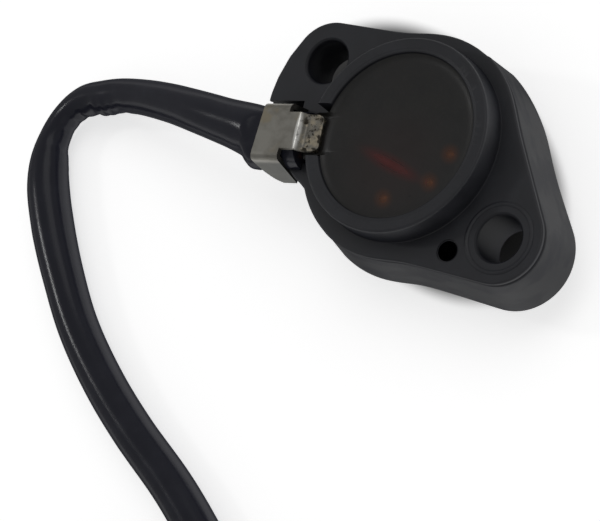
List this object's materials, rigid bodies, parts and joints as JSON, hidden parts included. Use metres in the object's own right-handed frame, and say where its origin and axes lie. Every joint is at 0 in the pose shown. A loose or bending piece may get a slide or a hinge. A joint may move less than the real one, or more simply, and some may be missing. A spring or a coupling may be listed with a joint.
{
  "type": "gear position indicator switch",
  "caption": "Motorcycle gearbox gear position indicator switch: two-eared flange with a potted collar, wiper rotor in its spigot, sleeved lead under a sheet clamp, and a plug.",
  "frame": {"origin": "middle of the housing's footprint on the plane that the switch stands on, at the end of the spigot", "axes": "+Z along the collar and the rotor's axis, out of the engine case and towards the potted face; +X along the line from the small ear's bolt hole to the large ear's"},
  "size_m": [0.1375, 0.1541, 0.0165],
  "materials": {
    "black_nylon": "moulded glass-filled nylon, satin with worn gloss",
    "resin": "dark amber potting resin, smooth",
    "zinc_steel": "zinc plated sheet steel, dulled",
    "brass": "turned brass, tinned at the solder",
    "spring_steel": "bright spring steel",
    "black_rubber": "black nitrile rubber",
    "lead_sleeve": "bluish black vinyl sleeve",
    "white_nylon": "natural nylon",
    "rotor_nylon": "cream acetal",
    "tie_nylon": "black nylon",
    "wire_light_green": "vinyl insulation",
    "wire_red": "vinyl insulation",
    "wire_yellow": "vinyl insulation",
    "wire_white": "vinyl insulation",
    "wire_blue": "vinyl insulation",
    "wire_orange": "vinyl insulation",
    "wire_pink": "vinyl insulation"
  },
  "bodies": {
    "root": {"housing": "black_nylon", "potting_resin": "resin", "cable_clamp": "zinc_steel", "o_ring": "black_rubber", "rotor_clip": "spring_steel", "lead": "lead_sleeve", "lead_coil": "lead_sleeve", "lead_tail": "lead_sleeve", "coil_tie": "tie_nylon", "plug_housing": "white_nylon", "plug_boot": "black_rubber", "plug_lock_bar": "rotor_nylon", "contact_post_neutral": "brass", "contact_post_gear_1": "brass", "contact_post_gear_2": "brass", "contact_post_gear_3": "brass", "contact_post_gear_4": "brass", "contact_post_gear_5": "brass", "contact_post_gear_6": "brass", "wire_neutral": "wire_light_green", "wire_gear_1": "wire_red", "wire_gear_2": "wire_orange", "wire_gear_3": "wire_blue", "wire_gear_4": "wire_yellow", "wire_gear_5": "wire_white", "wire_gear_6": "wire_pink", "terminal_1": "brass", "terminal_2": "brass", "terminal_3": "brass", "terminal_4": "brass", "terminal_5": "brass", "terminal_6": "brass", "terminal_7": "brass"},
    "rotor": {"rotor": "rotor_nylon", "rotor_contact_strap": "brass", "plunger_spring": "spring_steel"},
    "plunger": {"contact_plunger": "brass"}
  },
  "joints": [
    {"name": "rotor_turn", "type": "hinge", "parent": "root", "child": "rotor", "pos_m": [-0.001, 0.001, 0.0034], "axis": [0, 0, 1], "range_deg": [-271, 0]},
    {"name": "plunger_travel", "type": "slide", "parent": "rotor", "child": "plunger", "axis": [0, 0, 1], "range_m": [-0.0006, 0], "stiffness_N_per_m": 400, "springref_m": 0.0006, "deforming": ["plunger_spring"]}
  ]
}
